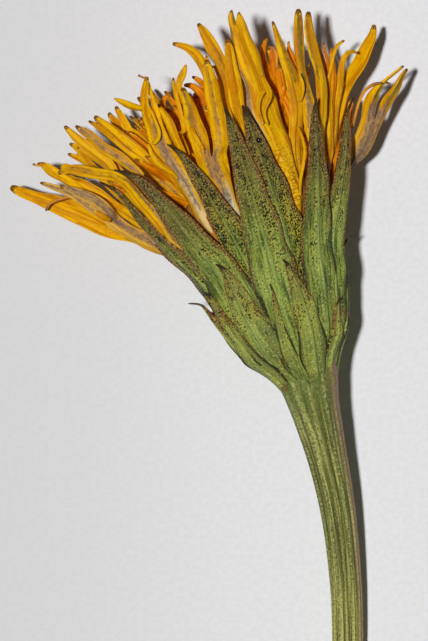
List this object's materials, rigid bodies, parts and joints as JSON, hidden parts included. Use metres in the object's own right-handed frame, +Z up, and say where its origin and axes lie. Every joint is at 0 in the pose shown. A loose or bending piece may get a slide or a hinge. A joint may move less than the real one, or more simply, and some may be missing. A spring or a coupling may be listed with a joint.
{
  "type": "nodding microseris flower",
  "caption": "Cut yellow composite flower head with toothed straps in a cup of pointed green bracts, on a ribbed stalk, lying down.",
  "frame": {"origin": "centre of the box round the flower, on the surface that it lies on", "axes": "+Z up from the surface, +Y from the cut end of the stalk towards the head, +X across, to the right as seen from above"},
  "size_m": [0.023, 0.051, 0.0145],
  "materials": {
    "stalk": "satin",
    "bracts": "matte",
    "ligules": "satin"
  },
  "bodies": {
    "root": {"stem": "stalk", "involucre": "bracts", "florets": "ligules"}
  },
  "joints": []
}
